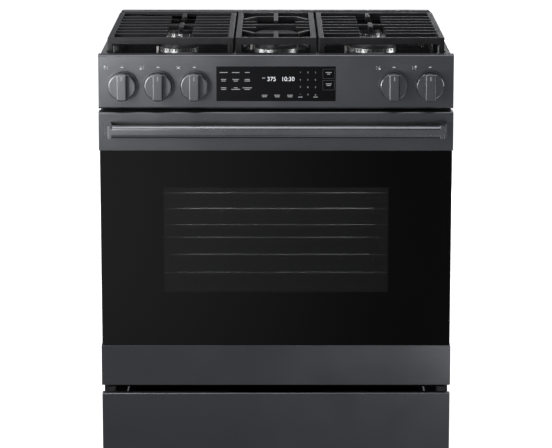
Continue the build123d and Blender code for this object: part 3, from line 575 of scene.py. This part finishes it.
def display_labels(materials):
    work = bmesh.new()
    for down, *columns in LABEL_ROWS:
        for across, widths in zip(LABEL_COLUMNS, columns):
            label(work, across, down, widths)
    for place in OTHER_LABELS:
        label(work, *place)
    across, down = DASH
    ink_plate(work, DISPLAY_LOW.x + across * MM, DISPLAY_HIGH.z - down * MM, 7 * MM, 1.6 * MM, DISPLAY_LOW.y)
    carry(finish_mesh("display_labels", work, materials["dim_ink_painted_glow"]), "chassis", "display_glass")


def display_keys(materials):
    """Thin frames round the two wide keys."""
    work = bmesh.new()
    x = DISPLAY_LOW.x + WIDE_KEY * MM
    half_wide, half_tall, line = 12.5 * MM, 10.2 * MM, 0.6 * MM
    for down in WIDE_KEY_ROWS:
        z = DISPLAY_HIGH.z - down * MM
        for side in (-1, 1):
            ink_plate(work, x + side * half_wide, z, line, 2 * half_tall + line, DISPLAY_LOW.y)
            ink_plate(work, x, z - side * half_tall, 2 * half_wide + line, line, DISPLAY_LOW.y)
    carry(finish_mesh("display_keys", work, materials["dark_ink_painted_glow"]), "chassis", "display_glass")


def display_digits(materials):
    """A keypad's twelve signs, and the temperature and time."""
    for number, sign in enumerate("123456789*0#"):
        row, column = divmod(number, 3)
        place = (DISPLAY_LOW.x + (KEY_COLUMN + KEY_STEP_X * column) * MM, DISPLAY_LOW.y,
                 DISPLAY_HIGH.z - (KEY_ROW + KEY_STEP_Z * row) * MM)
        piece = write_text("key_" + str(number), sign, 5.2 * MM, place, materials["dim_ink_painted_glow"])
        carry(piece, "chassis", "display_glass")
    for text, across in READOUTS:
        place = (DISPLAY_LOW.x + across * MM, DISPLAY_LOW.y, DISPLAY_HIGH.z - READOUT_ROW * MM)
        piece = write_text("digits_" + str(across), text, 13.0 * MM, place, materials["lit"])
        carry(piece, "chassis", "display_glass")


BURNER_PORTS = 36


def burner_ports(materials):
    """Dark boxes round the rim of each round burner head: painted shade that stands for the shadow in the
    gas ports.
    """
    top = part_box("burner_heads")[1].z
    work = bmesh.new()
    for x, y, radius in burner_places():
        for number in range(BURNER_PORTS):
            turn = 2 * math.pi * number / BURNER_PORTS
            made = plate(work, radius - 1.0 * MM, radius + 0.15 * MM, -1.1 * MM, 1.1 * MM,
                         top - 5.5 * MM, top - 0.6 * MM)
            bmesh.ops.rotate(work, cent=(0, 0, 0), matrix=Matrix.Rotation(turn, 3, "Z"), verts=made)
            bmesh.ops.translate(work, vec=(x, y, 0), verts=made)
    carry(finish_mesh("burner_ports", work, materials["painted_port_shade"]), "chassis", "burner_aluminium")


def islands(node):
    """(low, high) of every separate solid of a CAD node, from left to right."""
    work = bmesh.new()
    work.from_mesh(frame["nodes"][node].data)
    bmesh.ops.remove_doubles(work, verts=work.verts[:], dist=2e-6)
    left = set(work.verts)
    boxes = []
    while left:
        start = left.pop()
        heap, group = [start], [start]
        while heap:
            for edge in heap.pop().link_edges:
                for vert in edge.verts:
                    if vert in left:
                        left.discard(vert)
                        heap.append(vert)
                        group.append(vert)
        low = Vector([min(v.co[i] for v in group) for i in range(3)])
        high = Vector([max(v.co[i] for v in group) for i in range(3)])
        boxes.append((low, high))
    work.free()
    return sorted(boxes, key=lambda box: tuple(box[0]))


def burner_places():
    """Centre and radius of the round burner heads."""
    places = []
    for low, high in islands("burner_heads"):
        wide, deep = high.x - low.x, high.y - low.y
        if abs(wide - deep) < 2 * MM:
            places.append(((low.x + high.x) / 2, (low.y + high.y) / 2, wide / 2))
    return places


def cap_rings(materials):
    """A raised ring on each round cap, as stamped caps have."""
    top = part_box("burner_caps")[1].z
    for number, (x, y, radius) in enumerate(burner_places()):
        work = bmesh.new()
        reach = radius * 0.62
        lathe(work, [(0, -0.5 * MM), (reach, -0.5 * MM), (reach, 0.5 * MM), (reach - 1.5 * MM, 1.0 * MM),
                     (0, 1.2 * MM)], (x, y, top))
        piece = finish_mesh("cap_ring_" + str(number), work, materials["cap_enamel"])
        carry(piece, "chassis", "cap_enamel")


# a pan head and its recess: (radius, height) in mm
SCREW_PROFILE = ((0, -0.8), (3.6, -0.8), (3.6, 0.2), (2.9, 1.3), (1.6, 1.7), (0.9, 1.7), (0, 0.9))


def rear_screws(name, body, spots, materials):
    """Pan-head screws whose heads face the back; spots are points on the surface."""
    work = bmesh.new()
    for spot in spots:
        made = lathe(work, [(radius * MM, height * MM) for radius, height in SCREW_PROFILE], (0, 0, 0), 20)
        turn = Matrix.Rotation(math.radians(-90), 3, "X")
        bmesh.ops.rotate(work, cent=(0, 0, 0), matrix=turn, verts=made)
        bmesh.ops.translate(work, vec=spot, verts=made)
    carry(finish_mesh(name, work, materials["screw"]), body, "galvanised")


def make_screws(materials):
    low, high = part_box("back_cover")
    edge, end, step = 12 * MM, 20 * MM, 200 * MM
    heights = [low.z + end + step * row for row in range(4)] + [high.z - end]
    spots = [(x, high.y, z) for x in (low.x + edge, high.x - edge) for z in heights]
    spots += [(x, high.y, z) for x in (-180 * MM, 0.0, 180 * MM) for z in (low.z + edge, high.z - edge)]
    rear_screws("back_screws", "chassis", spots, materials)
    low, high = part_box("door_inner_panel")
    spots = [(x, high.y, z) for x in (low.x + end, high.x - end) for z in (low.z + end, high.z - end)]
    rear_screws("door_screws", "oven_door", spots, materials)


def window_trim(materials):
    """Thin frame that holds the inner pane on the door's inner side."""
    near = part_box("door_inner_panel")[1].y
    far = near + 1 * MM
    outer = WINDOW_HALF + 8 * MM
    work = bmesh.new()
    plate(work, -outer, outer, near, far, WINDOW_TOP, WINDOW_TOP + 8 * MM)
    plate(work, -outer, outer, near, far, WINDOW_BOTTOM - 8 * MM, WINDOW_BOTTOM)
    plate(work, -outer, -WINDOW_HALF, near, far, WINDOW_BOTTOM, WINDOW_TOP)
    plate(work, WINDOW_HALF, outer, near, far, WINDOW_BOTTOM, WINDOW_TOP)
    carry(finish_mesh("window_trim", work, materials["stainless"]), "oven_door", "stainless")


def make_details(materials):
    panel_marks(materials)
    knob_pointers(materials)
    display_labels(materials)
    display_keys(materials)
    display_digits(materials)
    burner_ports(materials)
    cap_rings(materials)
    make_screws(materials)
    window_trim(materials)


# ---- stage and surroundings ----------------------------------------------------------------------
def make_floor():
    """Pale floor that only takes a soft shadow."""
    work = bmesh.new()
    plate(work, -14, 14, -14, 14, -0.02, 0.0)
    material, tree, shader = new_material("floor")
    grain = noise(tree, position(tree, (1, 1, 1)), 3.0, 3.0)
    tint = ramp(tree, grain, [(0.3, (0.93, 0.93, 0.93)), (0.7, (0.95, 0.95, 0.95))])
    tree.links.new(tint, shader.inputs["Base Color"])
    shader.inputs["Roughness"].default_value = 0.9
    shader.inputs["Specular IOR Level"].default_value = 0.1
    tree.links.new(tint, shader.inputs["Emission Color"])
    shader.inputs["Emission Strength"].default_value = 0.80
    floor = finish_mesh("floor", work, material)
    floor.visible_glossy = False
    floor.visible_diffuse = False


def make_backdrop():
    """White all round, seen by the camera only; the light comes from the world and the lamps."""
    work = bmesh.new()
    bmesh.ops.create_icosphere(work, subdivisions=4, radius=40.0)
    material, tree, shader = new_material("backdrop")
    grain = noise(tree, position(tree, (1, 1, 1)), 0.1, 2.0)
    tint = ramp(tree, grain, [(0.3, (0.99, 0.99, 0.99)), (0.7, (1, 1, 1))])
    shader.inputs["Base Color"].default_value = (0, 0, 0, 1)
    tree.links.new(tint, shader.inputs["Emission Color"])
    shader.inputs["Emission Strength"].default_value = 1.0
    dome = finish_mesh("backdrop", work, material)
    for seen in ("visible_glossy", "visible_diffuse", "visible_shadow", "visible_transmission",
                 "visible_volume_scatter"):
        setattr(dome, seen, False)


def band(tree, value, centre, reach, soft):
    """1 within reach of the centre, falling smoothly to 0 over the soft width."""
    fall = tree.nodes.new("ShaderNodeMapRange")
    fall.interpolation_type = "SMOOTHSTEP"
    fall.inputs["From Min"].default_value = reach
    fall.inputs["From Max"].default_value = reach + soft
    fall.inputs["To Min"].default_value = 1.0
    fall.inputs["To Max"].default_value = 0.0
    tree.links.new(distance_from(tree, value, centre), fall.inputs["Value"])
    return fall.outputs["Result"]


WORLD_BASE = 0.03
SOFT_BOXES = (
    # direction (x, z), reach (x, z), soft edge, strength, and -1 in front of the range or 1 behind it
    ((-0.40, -0.10), (0.31, 0.10), 0.16, 0.30, -1),
    ((0.45, -0.20), (0.22, 0.15), 0.20, 0.22, -1),
    ((0.0, -0.74), (0.9, 0.14), 0.16, 0.20, -1),
    ((0.0, -0.60), (0.9, 0.30), 0.22, 0.20, 1),
    ((0.0, 0.86), (0.9, 0.05), 0.12, 1.60, -1),
    ((-0.3, 0.20), (0.5, 0.10), 0.20, 0.21, 1),
    ((0.0, 0.70), (0.9, 0.25), 0.20, 0.16, 1),
)


def make_world():
    """Dim surroundings with a few soft boxes for the metal and the glass to mirror."""
    world = bpy.data.worlds.new("studio")
    bpy.context.scene.world = world
    world.use_nodes = True
    tree = world.node_tree
    source = tree.nodes.new("ShaderNodeTexCoord")
    split = tree.nodes.new("ShaderNodeSeparateXYZ")
    tree.links.new(source.outputs["Generated"], split.inputs["Vector"])
    total = WORLD_BASE
    for (x, z), (reach_x, reach_z), soft, strength, side in SOFT_BOXES:
        across = band(tree, split.outputs["X"], x, reach_x, soft)
        upright = band(tree, split.outputs["Z"], z, reach_z, soft)
        facing = compute(tree, "GREATER_THAN", compute(tree, "MULTIPLY", split.outputs["Y"], side), 0.0)
        box = compute(tree, "MULTIPLY", compute(tree, "MULTIPLY", across, upright), facing)
        total = compute(tree, "ADD", compute(tree, "MULTIPLY", box, strength), total)
    tint = tree.nodes.new("ShaderNodeCombineColor")
    for channel, factor in (("Red", 0.97), ("Green", 0.98), ("Blue", 1.03)):
        tree.links.new(compute(tree, "MULTIPLY", total, factor), tint.inputs[channel])
    tree.links.new(tint.outputs["Color"], tree.nodes["Background"].inputs["Color"])
    tree.nodes["Background"].inputs["Strength"].default_value = 1.0


LAMPS = (
    # name, place, what it points at, size, watts
    ("key_left", (-0.95, -1.38, 0.97), (-0.40, -0.3, 0.85), (0.6, 0.5), 10.5),
    ("low_right", (0.80, -1.05, 0.16), (0.38, -0.3, 0.10), (0.4, 0.25), 1.3),
    ("top", (-0.4, 0.1, 3.0), (0, 0.05, 0.9), (1.6, 1.0), 7),
    ("side_left", (-3.0, -0.6, 1.3), (-0.4, 0.1, 0.5), (1.6, 1.6), 40),
    ("side_right", (3.0, 0.4, 1.3), (0.4, 0.1, 0.5), (1.6, 1.6), 40),
    ("oven", (0.0, -0.05, 0.70), (0.0, -0.02, 0.3), (0.45, 0.25), 0.8),
    ("rear", (0.8, 3.0, 0.7), (0, 0.35, 0.5), (2.0, 0.9), 26),
)


def make_lights():
    for lamp in LAMPS:
        area_light(*lamp)


def main():
    scene = bpy.context.scene
    scene.view_settings.view_transform = "Standard"
    make_camera()
    materials = make_materials()
    dress_cad(materials)
    make_eased(materials)
    make_details(materials)
    make_floor()
    make_backdrop()
    make_world()
    make_lights()


main()
